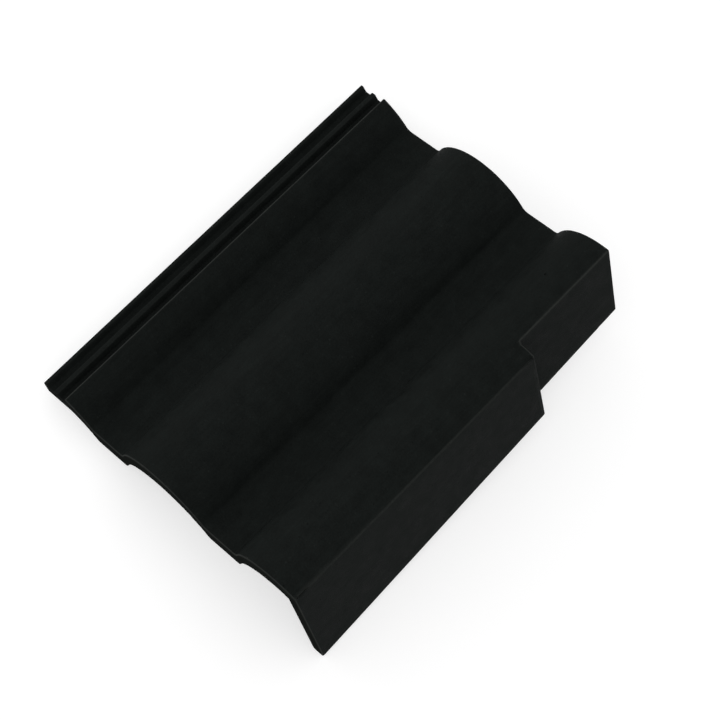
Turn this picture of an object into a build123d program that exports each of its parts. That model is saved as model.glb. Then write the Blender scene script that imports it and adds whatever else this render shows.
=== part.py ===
from build123d import *
import os
from math import atan2, degrees, sqrt

# Right-hand cloaked verge tile of double-roll form, cast in one piece of concrete.
# Tile directions: x runs across from the underlock to the cloak, y runs up the slope
# from the nose to the head, and z is square to the pans, with their top face at z = 0.

# Overall sizes
tile_length = 420.0
tile_width = 332.5
body_thickness = 13.0

# Rolls and pans; the hollow below a roll is a little narrower than the roll, and the cloak
# cuts the last roll a little past its crest
roll_width = 109.5
roll_height = 35.7
cut_past_crest = 28.25
flank_width = 28.0
hollow_width = 105.0
foot_radius = 7.0

# Underlock along the left edge
lock_width = 31.0
lock_top = 24.5
lock_thickness = 16.0
groove_depth = 6.5
groove_floor = 6.5
groove_slope = 2.5
lip_width = 3.5
rib_width = 4.5

# Cloak along the right edge, stepped in at the headlap
cloak_thickness = 13.0
cloak_drop = 101.0
cloak_taper = 22.0
cloak_fillet = 6.0
headlap = 120.0
recess_inset = 18.0
recess_rise = 2.8
recess_fillet = 3.0

# Nose, thick enough to sit on the rolls and pans of the tile below
nose_thickness = 20.0
nose_length = 22.0

# Weather bars across the underside of the pans, behind the nose
bar_places = (48.0, 74.0)
bar_length = 34.0
bar_width = 9.0
bar_height = 5.5
bar_slope = 2.0

# Hanging nibs under the pans
nib_setback = 23.0
nib_width = 30.0
nib_depth = 18.0
nib_height = 14.0
nib_taper = 1.0

# Rounded arrises
lock_arris = 1.4
edge_arris = 1.5
fold_arris = 1.6
step_arris = 2.0
nose_arris = 1.3
head_arris = 1.0
under_arris = 3.0

# Sizes that follow from the ones above
pan_start = lock_width + flank_width
first_crest = pan_start - roll_width / 2
roll_pitch = (tile_width - cut_past_crest - first_crest) / 2
roll_centres = [first_crest + roll_pitch * turn for turn in range(3)]
pan_centres = [first_crest + roll_pitch * (turn + 0.5) for turn in range(2)]
hanging_length = tile_length - nib_setback
recess_start = tile_length - headlap
recess_width = tile_width - recess_inset
cloak_inner = tile_width - cloak_thickness
recess_inner = recess_width - cloak_thickness
web_start = recess_start - cloak_thickness
taper_slope = cloak_taper / recess_start
bar_angle = degrees(atan2(bar_height, bar_slope))
nib_angle = degrees(atan2(nib_height, nib_taper))

# How near an edge's middle must be to a place to count as being there
reach = 0.02


def arch_radius(width):
    """Radius of an arch that rises as high as a roll over the width of its foot."""
    return (width**2 / 4 + roll_height**2) / (2 * roll_height)


roll_radius = arch_radius(roll_width)
roll_axis = roll_height - roll_radius
hollow_radius = arch_radius(hollow_width)
hollow_axis = roll_height - body_thickness - hollow_radius


def roll_top(across):
    """Height of the last roll's outer face at a place across the tile."""
    return roll_axis + sqrt(roll_radius**2 - (across - roll_centres[-1]) ** 2)


def cloak_bottom(along):
    """Height of the cloak's lower edge at a place along the tile."""
    return -cloak_drop + taper_slope * along


def section_plane(along):
    """Plane across the tile that looks up the slope from the nose."""
    return Plane(origin=(0, along, 0), x_dir=(1, 0, 0), z_dir=(0, -1, 0))


def side_plane(across):
    """Plane along the tile that faces out to the right."""
    return Plane(origin=(across, 0, 0), x_dir=(0, 1, 0), z_dir=(1, 0, 0))


def body_section(thickness, hollow):
    """Rolls and pans of one thickness, from the crisp edge of the first flank to the cloak."""
    body_width = tile_width - lock_width
    radius = arch_radius(hollow)
    with BuildSketch(section_plane(0)) as section:
        with Locations((lock_width, 0)):
            Rectangle(body_width, thickness, align=(Align.MIN, Align.MAX))
        with Locations([(centre, roll_axis) for centre in roll_centres]):
            Circle(roll_radius)
        with Locations([(centre, roll_height - thickness - radius) for centre in roll_centres]):
            Circle(radius, mode=Mode.SUBTRACT)
        with Locations((lock_width, -thickness)):
            Rectangle(body_width, thickness + roll_height, align=Align.MIN, mode=Mode.INTERSECT)
        feet = section.vertices().filter_by(lambda corner: abs(corner.Y) < reach)
        fillet(feet, foot_radius)
        lips = section.vertices().filter_by(lambda corner: abs(corner.Y + thickness) < reach)
        fillet(lips, under_arris)
        crisp_edge = section.vertices().group_by(Axis.X)[0].sort_by(Axis.Y)[-1]
        fillet(crisp_edge, edge_arris)
    return section.sketch


def near(edges, axis, place):
    """Those of some edges whose middle is at a place along an axis."""
    return edges.filter_by_position(axis, place - reach, place + reach)


def low_edges(tile):
    """Edges of the tile that lie near the foot of its cloak."""
    return tile.edges().filter_by(lambda edge: edge.center().Z < -cloak_drop / 2)


with BuildPart() as cast_tile:
    # Rolls and pans over the whole length, with the thicker nose below them
    extrude(body_section(body_thickness, hollow_width), amount=tile_length, dir=(0, 1, 0))
    extrude(body_section(nose_thickness, roll_width), amount=nose_length, dir=(0, 1, 0))

    # The last roll is cut back at the headlap, so that the next cloak can lap over it
    with BuildSketch(side_plane(tile_width)) as headlap_cut:
        with Locations((recess_start, -cloak_drop)):
            Rectangle(headlap, 2 * cloak_drop, align=Align.MIN)
    extrude(amount=-recess_inset, mode=Mode.SUBTRACT)

    # Outer cloak, with its lower edge rising towards the head
    with BuildSketch(side_plane(tile_width)) as cloak_side:
        with BuildLine():
            Polyline(
                (0, cloak_bottom(0)),
                (recess_start, cloak_bottom(recess_start)),
                (recess_start, roll_top(tile_width)),
                (0, roll_top(tile_width)),
                close=True,
            )
        make_face()
    extrude(amount=-cloak_thickness)

    # Web across the step, as thick as the cloak
    with BuildSketch(side_plane(tile_width)) as web_side:
        with BuildLine():
            Polyline(
                (web_start, cloak_bottom(web_start)),
                (recess_start, cloak_bottom(recess_start)),
                (recess_start, roll_top(tile_width)),
                (web_start, roll_top(tile_width)),
                close=True,
            )
        make_face()
    extrude(amount=-recess_inset - cloak_thickness)

    # Recessed cloak of the headlap
    with BuildSketch(side_plane(recess_width)) as recess_side:
        with BuildLine():
            Polyline(
                (recess_start, cloak_bottom(recess_start) + recess_rise),
                (tile_length, cloak_bottom(tile_length) + recess_rise),
                (tile_length, roll_top(recess_width)),
                (recess_start, roll_top(recess_width)),
                close=True,
            )
        make_face()
    extrude(amount=-cloak_thickness)

    # Underlock: a strip below the level of the rolls, with two grooves between lip, rib and edge
    lock_bottom = lock_top - lock_thickness
    groove_bottom = lock_top - groove_depth
    rib_start = lip_width + groove_floor + 2 * groove_slope
    lock_seat = roll_centres[0] + sqrt(hollow_radius**2 - (lock_bottom - hollow_axis) ** 2)
    with BuildSketch(section_plane(0)) as lock_section:
        with Locations((0, lock_bottom)):
            Rectangle(lock_seat, lock_thickness, align=Align.MIN)
        with BuildLine():
            Polyline(
                (lip_width, lock_top),
                (lip_width + groove_slope, groove_bottom),
                (rib_start - groove_slope, groove_bottom),
                (rib_start, lock_top),
                close=True,
            )
        make_face(mode=Mode.SUBTRACT)
        with BuildLine():
            Polyline(
                (rib_start + rib_width, lock_top),
                (rib_start + rib_width + groove_slope, groove_bottom),
                (lock_width, groove_bottom),
                (lock_width, lock_top),
                close=True,
            )
        make_face(mode=Mode.SUBTRACT)
        lock_corners = lock_section.vertices().filter_by(lambda corner: corner.X < lock_width - reach)
        fillet(lock_corners, lock_arris)
    extrude(amount=-tile_length)

    # Weather bars
    for pan_centre in pan_centres:
        with BuildSketch(side_plane(pan_centre - bar_length / 2)) as bar_sides:
            with Locations([(place, -body_thickness) for place in bar_places]):
                Trapezoid(bar_width, bar_height, bar_angle, rotation=180, align=(Align.CENTER, Align.MIN))
        extrude(amount=bar_length)

    # Nibs that hang over the batten, one under each pan
    with BuildSketch(section_plane(hanging_length)) as nib_section:
        with Locations([(pan_centre, -body_thickness) for pan_centre in pan_centres]):
            Trapezoid(nib_width, nib_height, nib_angle, rotation=180, align=(Align.CENTER, Align.MIN))
        fillet(nib_section.vertices().group_by(Axis.Y)[0], under_arris)
    extrude(amount=-nib_depth)

    # Inner corners below the two folds, and the inner corner of the step
    long_edges = cast_tile.edges().filter_by(Axis.Y)
    fillet(near(long_edges, Axis.X, cloak_inner).sort_by(SortBy.LENGTH)[-1], cloak_fillet)
    long_edges = cast_tile.edges().filter_by(Axis.Y)
    fillet(near(long_edges, Axis.X, recess_inner).sort_by(SortBy.LENGTH)[-1], cloak_fillet)
    step_edges = near(cast_tile.edges(), Axis.Y, recess_start)
    fillet(near(step_edges.filter_by(Axis.Z), Axis.X, recess_width), recess_fillet)

    # Arrises of the step's upright edge, then of the two folds with the top of the step between them
    step_edges = near(cast_tile.edges(), Axis.Y, recess_start)
    fillet(near(step_edges, Axis.X, tile_width), step_arris)
    long_edges = cast_tile.edges().filter_by(Axis.Y)
    folds = near(long_edges, Axis.X, tile_width) + near(long_edges, Axis.X, recess_width)
    step_edges = near(cast_tile.edges(), Axis.Y, recess_start)
    fillet(folds + step_edges.filter_by(GeomType.CIRCLE), fold_arris)

    # Arrises along the feet of the cloak, of the web and of the recessed cloak
    feet = low_edges(cast_tile)
    fillet(near(feet, Axis.X, cloak_inner) + near(feet, Axis.Y, web_start), under_arris)
    fillet(near(low_edges(cast_tile), Axis.X, tile_width).sort_by(SortBy.LENGTH)[-1], fold_arris)
    fillet(near(low_edges(cast_tile), Axis.X, recess_inner).sort_by(SortBy.LENGTH)[-1], under_arris)

    # Arrises of the tail and of the head
    fillet(cast_tile.edges().group_by(Axis.Y)[0], nose_arris)
    fillet(cast_tile.edges().group_by(Axis.Y)[-1], head_arris)

# The tile lies right way up, on the nose of the first pan, the foot of the cloak and a nib.
# It rests on three roundings of one radius, so the floor is the plane through their centres,
# moved down by that radius. The length of the tile lies along the floor's y.
nose_reach = sqrt((roll_radius + under_arris) ** 2 - (under_arris - roll_axis) ** 2)
nose_support = Vector(roll_centres[0] + nose_reach, nose_arris, under_arris - nose_thickness)
cloak_support = Vector(cloak_inner + under_arris, nose_arris, under_arris + cloak_bottom(nose_arris))
nib_support = nib_section.sketch.edges().filter_by(GeomType.CIRCLE).sort_by(Axis.X)[0].arc_center
floor_normal = (cloak_support - nose_support).cross(nib_support - nose_support).normalized()
floor_plane = Plane(
    origin=nose_support - floor_normal * under_arris,
    x_dir=Vector(0, 1, 0).cross(floor_normal),
    z_dir=floor_normal,
)
lying_tile = floor_plane.to_local_coords(cast_tile.part)
footprint = lying_tile.bounding_box()
footprint_centre = Vector(footprint.center().X, footprint.center().Y, footprint.min.Z)

with BuildPart() as verge_tile:
    add(lying_tile.moved(Location(-footprint_centre)))

verge_tile.part.label = "verge_tile"

os.makedirs("parts", exist_ok=True)
export_step(verge_tile.part, "parts/verge_tile.step")
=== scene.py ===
import bpy
import bmesh
from math import radians, hypot
from mathutils import Euler, Matrix, Vector, noise


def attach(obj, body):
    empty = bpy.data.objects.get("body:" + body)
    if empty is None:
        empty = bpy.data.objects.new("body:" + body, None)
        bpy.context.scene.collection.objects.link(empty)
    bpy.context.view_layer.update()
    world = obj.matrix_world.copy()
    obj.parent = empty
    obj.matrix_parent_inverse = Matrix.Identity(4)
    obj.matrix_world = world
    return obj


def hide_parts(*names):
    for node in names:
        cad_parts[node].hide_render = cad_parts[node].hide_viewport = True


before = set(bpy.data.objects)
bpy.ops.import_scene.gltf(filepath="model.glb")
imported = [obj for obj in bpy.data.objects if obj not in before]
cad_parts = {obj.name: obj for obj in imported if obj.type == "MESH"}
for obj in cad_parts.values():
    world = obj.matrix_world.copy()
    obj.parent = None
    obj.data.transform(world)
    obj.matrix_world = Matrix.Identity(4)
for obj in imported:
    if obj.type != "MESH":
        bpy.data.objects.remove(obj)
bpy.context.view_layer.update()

# how the tile lies in the room, in metres: its own directions, and the corner that its sizes are counted from
lie = {
    "across": (0.95534759, -0.0034223, 0.29546451),
    "along": (0.0, 0.99993293, 0.011582),
    "up": (-0.29548433, -0.01106484, 0.95528351),
    "corner": (-0.170089044, -0.209226209, 0.001224238),
}
toTile = Matrix((lie["across"], lie["along"], lie["up"]))
corner = Vector(lie["corner"])

# the tile's curves, in millimetres: x across, y from the nose, z above the pans
curves = {
    "rollCentres": (4.25, 154.25, 304.25),
    "rollRadius": 59.832668,
    "rollAxis": -24.132668,
    "footRadius": 7.0,
    "footOut": 59.1385,        # from a roll's centre to the centre of its rounded foot
    "footTop": 3.74,           # where the rounded foot meets the roll
    "panClear": 0.02,          # lower than this is the flat pan
    "hollowRadius": 56.452941,
    "hollowAxis": -33.752941,
    "noseAxis": -44.132668,    # the nose's hollow has the radius of the roll
    "noseLength": 22.0,
    "near": 0.12,              # a point this near a curve belongs to it
    "between": (33.2, 330.6),  # clear of the rounded folds
    "betweenHeadlap": 312.6,   # the same beside the recessed cloak
    "stepAt": 297.0,
    "ends": (1.6, 418.6),      # clear of the rounded ends
    "length": 420.0,
    "endRounds": (1.3, 1.0),   # radius of the arris at the nose and at the head
    "seat": (38.0, 43.0),      # where the strip that carries the underlock comes up beside the first flank
    "seatLow": 15.0,
}

# the cast skin, in millimetres
castSkin = {
    "weld": 0.00001,           # metres, between points of the model that are one
    "flat": 0.05,              # degrees, between faces of the model that are one
    "sharp": 40,               # degrees, where the shading breaks
    "cell": 4.0,               # width of a cell across the tile
    "cellSlack": 0.3,          # a face this much wider than a cell is cut
    "acrossStart": 0.3,
    "acrossCount": 84,
    "upStart": -110.3,
    "upCount": 40,
    "step": 3.1,               # length of a cell along the tile
    "stepSlack": 0.4,
    "alongCount": 135,
    "cutClear": 0.05,          # a cut leaves a face alone that reaches past it by less
    "cutSnap": 0.02,
    "besideArrisAcross": (33.4, 311.8, 329.8),
    "besideArrisAlong": (2.4, 19.5, 297.6, 417.8),
    "besideFold": (26.5, 32.2),
    "arrisFrom": 0.25,         # bend of the surface at which an arris begins, and is full (1 / radius)
    "arrisFull": 0.4,
    "arrisReach": 0.6,         # a face counts this far from its edge
    "sliver": 0.01,            # a face narrower than this shows no bend
    "lockEnd": 30.5,
    "lockShare": 0.25,         # the underlock's ribs are hardly rubbed and get little painted highlight
    # the long folds: across, up, from, to, and how much they are rubbed and lit with painted highlight
    "folds": ((31.6, 28.0, 0, 420, 1.0), (314.5, 34.82, 300, 420, 1.0), (332.5, 28.61, 0, 298, 0.6)),
    "foldZone": 3.5,
    "foldHalf": (0.9, 0.8),    # rubbed and lit with painted highlight fully this far from the line, and gone this much further
    "foldEnd": 2,              # a fold's own wear and painted highlight stop this far from its ends
    # size and depth of each unevenness, and where its noise is read
    "wave": (22.0, 0.06, 3.1),
    "pitting": (5.0, 0.03, 7.7),
    "arrisLoss": (4.0, 0.10, 11.3),
    "chip": (8.0, 0.6, 17.9),
    "chipRare": 0.38,
}

# which faces the weathering finish takes: how far they turn towards an axis, and where they lie
weathered = {
    "end": 0.8,
    "endDepth": 3,             # millimetres, at the nose and at the head
    "up": 0.12,
    "nose": 0.7,
    "side": 0.3,
    "cloakFrom": 300,
    "lockEdge": 3,
}


def sweepCuts(mesh, axis, places, least, wanted=None):
    # cuts the faces longer than `least` along one axis at each place, from low to high
    clear = castSkin["cutClear"]
    live = [f for f in mesh.faces if wanted is None or wanted(f)]
    normal = Vector([1 if i == axis else 0 for i in range(3)])
    for place in sorted(places):
        ahead, crossing = [], []
        for f in live:
            reach = [v.co[axis] for v in f.verts]
            low, high = min(reach), max(reach)
            if high < place + clear:
                continue
            if low > place - clear or high - low < least:
                ahead.append(f)
            else:
                crossing.append(f)
        if crossing:
            edges = {e for f in crossing for e in f.edges}
            verts = {v for f in crossing for v in f.verts}
            cut = bmesh.ops.bisect_plane(mesh, geom=crossing + list(edges) + list(verts),
                                         dist=castSkin["cutSnap"], plane_co=normal * place, plane_no=normal)
            made = [g for g in cut["geom"] if isinstance(g, bmesh.types.BMFace) and g.is_valid]
            ahead += [f for f in made if max(v.co[axis] for v in f.verts) > place + clear]
        live = ahead


def settle(x, z, centreX, centreZ, radius):
    # moves a point that is near a curve onto it
    dx, dz = x - centreX, z - centreZ
    far = hypot(dx, dz)
    if abs(far - radius) > curves["near"]:
        return None
    return centreX + dx * radius / far, centreZ + dz * radius / far


def endInset(y):
    # how far the rounded ends lie inside the roll
    inset = 0
    for reach, radius in zip((y, curves["length"] - y), curves["endRounds"]):
        if reach < radius:
            inset = radius - (radius ** 2 - (radius - max(reach, 0)) ** 2) ** 0.5
    return inset


def dressFlank(mesh):
    # the strip stands a little above the first flank, so its corner is dressed down to the roll
    c = curves
    centre, axis = c["rollCentres"][0], c["rollAxis"]
    for v in mesh.verts:
        x, y, z = v.co
        far = hypot(x - centre, z - axis)
        limit = c["rollRadius"] - endInset(y)
        if c["seat"][0] < x < c["seat"][1] and z > c["seatLow"] and far > limit:
            share = limit / far
            v.co.x, v.co.z = centre + (x - centre) * share, axis + (z - axis) * share


def roundCurves(mesh):
    # the cut cells stand on the true rolls and feet, not on the flats between the model's corners
    c = curves
    moved = 0
    for v in mesh.verts:
        x, y, z = v.co
        new = None
        right = c["between"][1] if y < c["stepAt"] else c["betweenHeadlap"]
        if not (c["between"][0] < x < right and c["ends"][0] < y < c["ends"][1]):
            continue
        for centre in c["rollCentres"]:
            if z > c["footTop"]:
                new = settle(x, z, centre, c["rollAxis"], c["rollRadius"])
            elif z > c["panClear"] and abs(abs(x - centre) - c["footOut"]) < c["footRadius"]:
                side = 1 if x > centre else -1
                new = settle(x, z, centre + side * c["footOut"], c["footRadius"], c["footRadius"])
            if new is None and y > c["noseLength"]:
                new = settle(x, z, centre, c["hollowAxis"], c["hollowRadius"])
            elif new is None:
                new = settle(x, z, centre, c["noseAxis"], c["rollRadius"])
            if new:
                break
        if new:
            v.co.x, v.co.z = new
            moved += 1
    return moved


def bendOf(e):
    # how tightly the surface turns outwards over an edge: the angle by the width of the faces beside it
    length = e.calc_length()
    widths = [2 * f.calc_area() / max(length, 1e-6) for f in e.link_faces]
    if min(widths) < castSkin["sliver"]:
        return 0
    reach = castSkin["arrisReach"]
    return e.calc_face_angle_signed(0) / (sum(min(w, reach) for w in widths) / 2)


def wearAndHighlightOf(v):
    # how much of an arris a point is: 1 on a rounded outer edge, 0 on a face or in an inner corner; it wears
    # the arris down and also lightens it as painted highlight
    span = castSkin["arrisFull"] - castSkin["arrisFrom"]
    wearAndHighlight = min(1, max(0, (max(bendOf(e) for e in v.link_edges) - castSkin["arrisFrom"]) / span))
    full, fade = castSkin["foldHalf"]
    margin = castSkin["foldEnd"]
    for x, z, start, end, share in castSkin["folds"]:
        off = hypot(v.co.x - x, v.co.z - z)
        if off < castSkin["foldZone"] and start + margin < v.co.y < end - margin:
            return share * min(1, max(0, 1 - (off - full) / fade))
    if v.co.x < castSkin["lockEnd"]:
        wearAndHighlight *= castSkin["lockShare"]
    return wearAndHighlight


def castLoss(place, wearAndHighlight):
    # depth of the surface below the model's, in millimetres
    def field(size, shift):
        return noise.noise(place / size + Vector((shift, 2 * shift, 3 * shift)))
    waveSize, waveDepth, waveShift = castSkin["wave"]
    pitSize, pitDepth, pitShift = castSkin["pitting"]
    lossSize, lossDepth, lossShift = castSkin["arrisLoss"]
    chipSize, chipDepth, chipShift = castSkin["chip"]
    loss = waveDepth * (1 + field(waveSize, waveShift)) + pitDepth * (1 + field(pitSize, pitShift))
    loss += wearAndHighlight * lossDepth * (1 + field(lossSize, lossShift))
    loss += wearAndHighlight * chipDepth * max(0, field(chipSize, chipShift) - castSkin["chipRare"])
    return loss


def isWeatherFace(f):
    # the face that the mould's roller shapes, and the outer faces of the cloak
    # the ends are cut and left open
    n, c, w = f.normal, f.calc_center_median(), weathered
    if abs(n.y) > w["end"] and (c.y < w["endDepth"] or c.y > curves["length"] - w["endDepth"]):
        return False
    if n.z > w["up"] or n.y < -w["nose"] or abs(n.y) > w["end"]:
        return True
    return (n.x > w["side"] and c.x > w["cloakFrom"]) or (n.x < -w["side"] and c.x < w["lockEdge"])


def cutCells(mesh):
    s = castSkin
    across = [s["cell"] * i + s["acrossStart"] for i in range(s["acrossCount"])]
    up = [s["cell"] * i + s["upStart"] for i in range(s["upCount"])]
    along = [s["step"] * (i + 1) for i in range(s["alongCount"])]
    sweepCuts(mesh, 0, across + list(s["besideArrisAcross"]), s["cell"] + s["cellSlack"],
              lambda f: abs(f.normal.z) >= abs(f.normal.x))
    sweepCuts(mesh, 2, up + list(s["besideFold"]), s["cell"] + s["cellSlack"],
              lambda f: abs(f.normal.z) < abs(f.normal.x))
    sweepCuts(mesh, 1, along + list(s["besideArrisAlong"]), s["step"] + s["stepSlack"])


def castTile(weather, pallet):
    cad = bpy.data.objects["verge_tile"]
    mesh = bmesh.new()
    mesh.from_mesh(cad.data)
    bmesh.ops.transform(mesh, matrix=cad.matrix_world, verts=mesh.verts)
    bmesh.ops.remove_doubles(mesh, verts=mesh.verts, dist=castSkin["weld"])
    for v in mesh.verts:
        v.co = (toTile @ (v.co - corner)) * 1000
    bmesh.ops.dissolve_limit(mesh, angle_limit=radians(castSkin["flat"]), use_dissolve_boundaries=False,
                             verts=mesh.verts, edges=mesh.edges)
    mesh.normal_update()
    cutCells(mesh)
    dressFlank(mesh)
    moved = roundCurves(mesh)
    bmesh.ops.triangulate(mesh, faces=mesh.faces)
    mesh.normal_update()
    layer = mesh.verts.layers.float.new("arris")
    for v in mesh.verts:
        # each point's arris measure wears the edges down and, in the finishes, lightens them as painted
        # highlight
        v[layer] = wearAndHighlightOf(v)
    for e in mesh.edges:
        e.smooth = e.calc_face_angle(0) < radians(castSkin["sharp"])
    for f in mesh.faces:
        f.smooth = True
        f.material_index = 0 if isWeatherFace(f) else 1
    shifts = [(v, v.normal * castLoss(v.co, v[layer])) for v in mesh.verts]
    for v, shift in shifts:
        v.co -= shift
    back = toTile.transposed()
    for v in mesh.verts:
        v.co = back @ (v.co / 1000) + corner
    print("cast skin:", len(mesh.faces), "triangles,", moved, "points on the curves")
    data = bpy.data.meshes.new("castTile")
    mesh.to_mesh(data)
    mesh.free()
    data.attributes.remove(data.attributes["custom_normal"])   # the model's own, which the cuts have spoilt
    data.materials.append(weather)
    data.materials.append(pallet)
    skin = bpy.data.objects.new("castTile", data)
    bpy.context.scene.collection.objects.link(skin)
    return skin


def newGroup(name, inputs, outputs):
    # an effect that both finishes share; each finish gives its own value to every input
    group = bpy.data.node_groups.new(name, "ShaderNodeTree")
    for label in inputs:
        group.interface.new_socket(label, in_out="INPUT", socket_type="NodeSocketFloat")
    for label in outputs:
        group.interface.new_socket(label, in_out="OUTPUT", socket_type="NodeSocketFloat")
    start = group.nodes.new("NodeGroupInput")
    end = group.nodes.new("NodeGroupOutput")
    return group, start.outputs, end.inputs


def mathNode(tree, operation, a, b, clamp=False):
    node = tree.nodes.new("ShaderNodeMath")
    node.operation = operation
    node.use_clamp = clamp
    for socket, value in zip(node.inputs, (a, b)):
        if isinstance(value, (int, float)):
            socket.default_value = value
        else:
            tree.links.new(value, socket)
    return node.outputs[0]


def noiseNode(tree, vector, scale, detail, roughness):
    node = tree.nodes.new("ShaderNodeTexNoise")
    node.inputs["Detail"].default_value = detail
    node.inputs["Roughness"].default_value = roughness
    tree.links.new(vector, node.inputs["Vector"])
    tree.links.new(scale, node.inputs["Scale"])
    return node.outputs["Fac"]


def spread(tree, value, amount):
    # turns a noise from 0 to 1 into a tone about 1
    centred = mathNode(tree, "SUBTRACT", value, 0.5)
    return mathNode(tree, "ADD", mathNode(tree, "MULTIPLY", centred, amount), 1.0)


grit = {
    "rare": 0.72,              # a grit shows where its own number is higher
    "reach": 0.42,             # and this near its middle, in parts of its cell
    "edge": 16.0,              # how steeply it ends
    "darkShare": 0.35,         # of the grits, darker than the mix
    "height": 0.35,
}


def sandGrain():
    # the sand in the mix: fine grain with a lighter or darker grit here and there
    group, given, result = newGroup("sandGrain", ("Grain Scale", "Grain Tone", "Grit Scale", "Grit Tone"),
                                    ("Tone", "Height"))
    place = group.nodes.new("ShaderNodeTexCoord").outputs["Object"]
    grain = noiseNode(group, place, given["Grain Scale"], detail=4.0, roughness=0.65)
    cells = group.nodes.new("ShaderNodeTexVoronoi")
    group.links.new(place, cells.inputs["Vector"])
    group.links.new(given["Grit Scale"], cells.inputs["Scale"])
    own = group.nodes.new("ShaderNodeSeparateColor")
    group.links.new(cells.outputs["Color"], own.inputs[0])
    chosen = mathNode(group, "SUBTRACT", own.outputs[0], grit["rare"], clamp=True)
    middle = mathNode(group, "SUBTRACT", grit["reach"], cells.outputs["Distance"], clamp=True)
    both = mathNode(group, "MULTIPLY", chosen, middle)
    stone = mathNode(group, "MULTIPLY", both, grit["edge"], clamp=True)
    lighter = mathNode(group, "SUBTRACT", own.outputs[1], grit["darkShare"])
    signed = mathNode(group, "MULTIPLY", lighter, given["Grit Tone"])
    toned = spread(group, grain, given["Grain Tone"])
    tone = mathNode(group, "ADD", toned, mathNode(group, "MULTIPLY", stone, signed))
    group.links.new(tone, result["Tone"])
    height = mathNode(group, "ADD", grain, mathNode(group, "MULTIPLY", stone, grit["height"]))
    group.links.new(height, result["Height"])
    return group


def castMottle():
    # cloudy pigment, and the faint drag of the roller along the tile
    group, given, result = newGroup("castMottle", ("Cloud Scale", "Cloud Tone", "Drag Scale", "Drag Tone"),
                                    ("Tone", "Mask"))
    place = group.nodes.new("ShaderNodeTexCoord").outputs["Object"]
    cloud = noiseNode(group, place, given["Cloud Scale"], detail=4.0, roughness=0.6)
    stretch = group.nodes.new("ShaderNodeMapping")
    stretch.inputs["Scale"].default_value = (1.0, 0.05, 1.0)   # twenty times as long as it is wide
    group.links.new(place, stretch.inputs["Vector"])
    drag = noiseNode(group, stretch.outputs[0], given["Drag Scale"], detail=2.0, roughness=0.5)
    clouds = spread(group, cloud, given["Cloud Tone"])
    tone = mathNode(group, "MULTIPLY", clouds, spread(group, drag, given["Drag Tone"]))
    group.links.new(tone, result["Tone"])
    group.links.new(cloud, result["Mask"])
    return group


def arrisWearAndHighlight():
    # pale arrises, partly rubbed wear and partly painted highlight, broken by grain, from the mesh's own
    # measure of its outer edges
    group, given, result = newGroup("arrisWearAndHighlight", ("Amount", "Sharpness", "Break Scale", "Break"), ("Mask",))
    place = group.nodes.new("ShaderNodeTexCoord").outputs["Object"]
    arris = group.nodes.new("ShaderNodeAttribute")
    arris.attribute_type = "GEOMETRY"
    arris.attribute_name = "arris"
    narrow = mathNode(group, "POWER", arris.outputs["Fac"], given["Sharpness"])
    breaks = noiseNode(group, place, given["Break Scale"], detail=3.0, roughness=0.6)
    broken = spread(group, breaks, given["Break"])
    rubbedAndHighlight = mathNode(group, "MULTIPLY", narrow, broken)
    mask = mathNode(group, "MULTIPLY", rubbedAndHighlight, given["Amount"], clamp=True)
    group.links.new(mask, result["Mask"])
    return group


def scaledColour(tree, colour, tone):
    node = tree.nodes.new("ShaderNodeVectorMath")
    node.operation = "SCALE"
    node.inputs[0].default_value = colour
    tree.links.new(tone, node.inputs["Scale"])
    return node.outputs[0]


def concrete(name, finish, groups):
    material = bpy.data.materials.new(name)
    material.use_nodes = True
    tree = material.node_tree
    shader = tree.nodes["Principled BSDF"]
    placed = {}
    for label, values in finish["groups"].items():
        node = tree.nodes.new("ShaderNodeGroup")
        node.node_tree = groups[label]
        for socket, value in values.items():
            node.inputs[socket].default_value = value
        placed[label] = node.outputs
    sand, mottle = placed["sandGrain"], placed["castMottle"]
    toned = scaledColour(tree, finish["colour"], mathNode(tree, "MULTIPLY", sand["Tone"], mottle["Tone"]))
    # the arrises take a paler colour: partly rubbed wear, partly painted highlight
    rubbedAndHighlight = scaledColour(tree, finish["rubbedAndHighlightColour"], sand["Tone"])
    mix = tree.nodes.new("ShaderNodeMix")
    mix.data_type = "RGBA"
    tree.links.new(placed["arrisWearAndHighlight"]["Mask"], mix.inputs["Factor"])
    tree.links.new(toned, mix.inputs["A"])
    tree.links.new(rubbedAndHighlight, mix.inputs["B"])
    tree.links.new(mix.outputs["Result"], shader.inputs["Base Color"])
    # the grain and the clouds both change how dull it is
    uneven = mathNode(tree, "ADD", mathNode(tree, "SUBTRACT", sand["Height"], 0.5),
                      mathNode(tree, "SUBTRACT", mottle["Mask"], 0.5))
    duller = mathNode(tree, "MULTIPLY", uneven, finish["roughnessSpread"])
    rough = mathNode(tree, "ADD", duller, finish["roughness"], clamp=True)
    tree.links.new(rough, shader.inputs["Roughness"])
    shader.inputs["Specular IOR Level"].default_value = finish["specular"]
    bump = tree.nodes.new("ShaderNodeBump")
    bump.inputs["Strength"].default_value = finish["bump"]
    bump.inputs["Distance"].default_value = finish["bumpDepth"]
    tree.links.new(sand["Height"], bump.inputs["Height"])
    tree.links.new(bump.outputs[0], shader.inputs["Normal"])
    return material


# the weathering face: black pigment, dense and matt
faceFinish = {
    "colour": (0.0075, 0.0089, 0.0083),
    # paler colour of the arrises: rubbed wear and painted highlight
    "rubbedAndHighlightColour": (0.0235, 0.0255, 0.0237),
    "roughness": 0.62,
    "roughnessSpread": 0.45,
    "specular": 0.014,
    "bump": 1.0,
    "bumpDepth": 0.0003,       # metres
    "groups": {
        "sandGrain": {"Grain Scale": 700.0, "Grain Tone": 1.1, "Grit Scale": 380.0, "Grit Tone": 0.9},
        "castMottle": {"Cloud Scale": 70.0, "Cloud Tone": 0.8, "Drag Scale": 300.0, "Drag Tone": 0.35},
        "arrisWearAndHighlight": {"Amount": 1.0, "Sharpness": 1.3, "Break Scale": 330.0, "Break": 0.9},
    },
}
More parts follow.
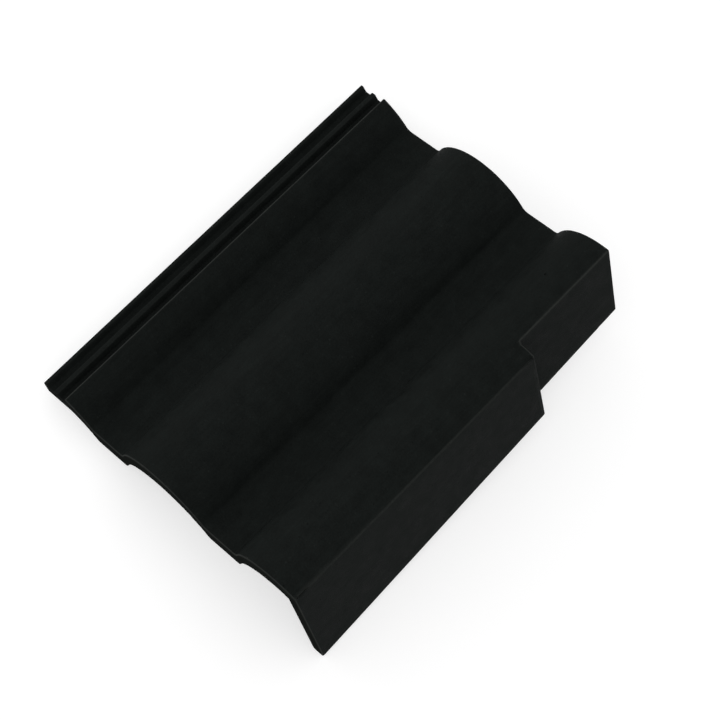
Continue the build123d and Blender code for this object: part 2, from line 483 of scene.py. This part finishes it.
# the underside, cast on the pallet, and the cut ends: a little paler and more open, with more grit
palletFinish = {
    "colour": (0.0112, 0.0124, 0.0114),
    # paler colour of the arrises: rubbed wear and painted highlight
    "rubbedAndHighlightColour": (0.0240, 0.0255, 0.0235),
    "roughness": 0.72,
    "roughnessSpread": 0.3,
    "specular": 0.0,
    "bump": 0.8,
    "bumpDepth": 0.00035,      # metres
    "groups": {
        "sandGrain": {"Grain Scale": 640.0, "Grain Tone": 0.8, "Grit Scale": 300.0, "Grit Tone": 0.9},
        "castMottle": {"Cloud Scale": 34.0, "Cloud Tone": 0.45, "Drag Scale": 180.0, "Drag Tone": 0.1},
        "arrisWearAndHighlight": {"Amount": 0.8, "Sharpness": 2.0, "Break Scale": 260.0, "Break": 1.0},
    },
}

view = {
    "place": (0.3374, -0.4799, 1.7837),    # metres
    "turn": (18.1255, -3.3419, 43.5463),   # degrees
    "lens": 100.662,                       # millimetres
    "frameWidth": 36,                      # millimetres
    "shift": (-0.0015, 0.0013),
    "farthest": 20,                        # metres
}


def addCamera():
    data = bpy.data.cameras.new("view")
    data.sensor_width = view["frameWidth"]
    data.lens = view["lens"]
    data.shift_x, data.shift_y = view["shift"]
    data.clip_end = view["farthest"]
    cam = bpy.data.objects.new("view", data)
    cam.location = view["place"]
    cam.rotation_euler = Euler([radians(a) for a in view["turn"]])
    bpy.context.scene.collection.objects.link(cam)
    bpy.context.scene.camera = cam


# a pale floor, an even room and one soft lamp low on the left
studio = {
    "floorHalf": 6.0,          # metres
    "floorTone": 0.55,
    "floorRoughness": 0.9,
    "floorGlow": 0.55,         # seen by the camera, so that the floor is white
    "roomLight": 0.93,
    "lampPlace": (-2.4, 0.1, 0.42),
    "lampAim": (0.0, 0.0, 0.06),
    "lampSize": (2.6, 0.7),
    "lampPower": 16.0,         # watts
}


def seenRays(tree):
    # 1 for what the camera, a gloss or a glass sees directly
    rays = tree.nodes.new("ShaderNodeLightPath").outputs
    seen = mathNode(tree, "ADD", rays["Is Camera Ray"], rays["Is Glossy Ray"])
    return mathNode(tree, "ADD", seen, rays["Is Transmission Ray"], clamp=True)


def addFloor():
    half = studio["floorHalf"]
    corners = [(-half, -half, 0), (half, -half, 0), (half, half, 0), (-half, half, 0)]
    mesh = bpy.data.meshes.new("floor")
    mesh.from_pydata(corners, [], [(0, 1, 2, 3)])
    floor = bpy.data.objects.new("floor", mesh)
    bpy.context.scene.collection.objects.link(floor)
    material = bpy.data.materials.new("paleFloor")
    material.use_nodes = True
    tree = material.node_tree
    shader = tree.nodes["Principled BSDF"]
    tone = studio["floorTone"]
    shader.inputs["Base Color"].default_value = (tone, tone, tone, 1)
    shader.inputs["Roughness"].default_value = studio["floorRoughness"]
    shader.inputs["Specular IOR Level"].default_value = 0.0
    shader.inputs["Emission Color"].default_value = (1, 1, 1, 1)
    glow = mathNode(tree, "MULTIPLY", seenRays(tree), studio["floorGlow"])
    tree.links.new(glow, shader.inputs["Emission Strength"])
    mesh.materials.append(material)


def addLight():
    world = bpy.data.worlds.new("room")
    world.use_nodes = True
    tree = world.node_tree
    sky = tree.nodes["Background"]
    sky.inputs["Color"].default_value = (1, 1, 1, 1)
    lift = mathNode(tree, "MULTIPLY", seenRays(tree), 1 - studio["roomLight"])
    tree.links.new(mathNode(tree, "ADD", lift, studio["roomLight"]), sky.inputs["Strength"])
    bpy.context.scene.world = world
    data = bpy.data.lights.new("lowLamp", "AREA")
    data.shape = "RECTANGLE"
    data.size, data.size_y = studio["lampSize"]
    data.energy = studio["lampPower"]
    lamp = bpy.data.objects.new("lowLamp", data)
    lamp.location = studio["lampPlace"]
    aim = Vector(studio["lampAim"]) - Vector(studio["lampPlace"])
    lamp.rotation_euler = aim.to_track_quat("-Z", "Y").to_euler()
    bpy.context.scene.collection.objects.link(lamp)


bpy.context.scene.view_settings.view_transform = "Standard"
addCamera()
addFloor()
addLight()
print("studio: floor, room, lamp and camera")
groups = {"sandGrain": sandGrain(), "castMottle": castMottle(), "arrisWearAndHighlight": arrisWearAndHighlight()}
weatherFace = concrete("weatherFaceConcrete", faceFinish, groups)
palletFace = concrete("palletFaceConcrete", palletFinish, groups)
print("finishes:", weatherFace.name, palletFace.name)
skin = castTile(weatherFace, palletFace)
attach(skin, "root")
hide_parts("verge_tile")
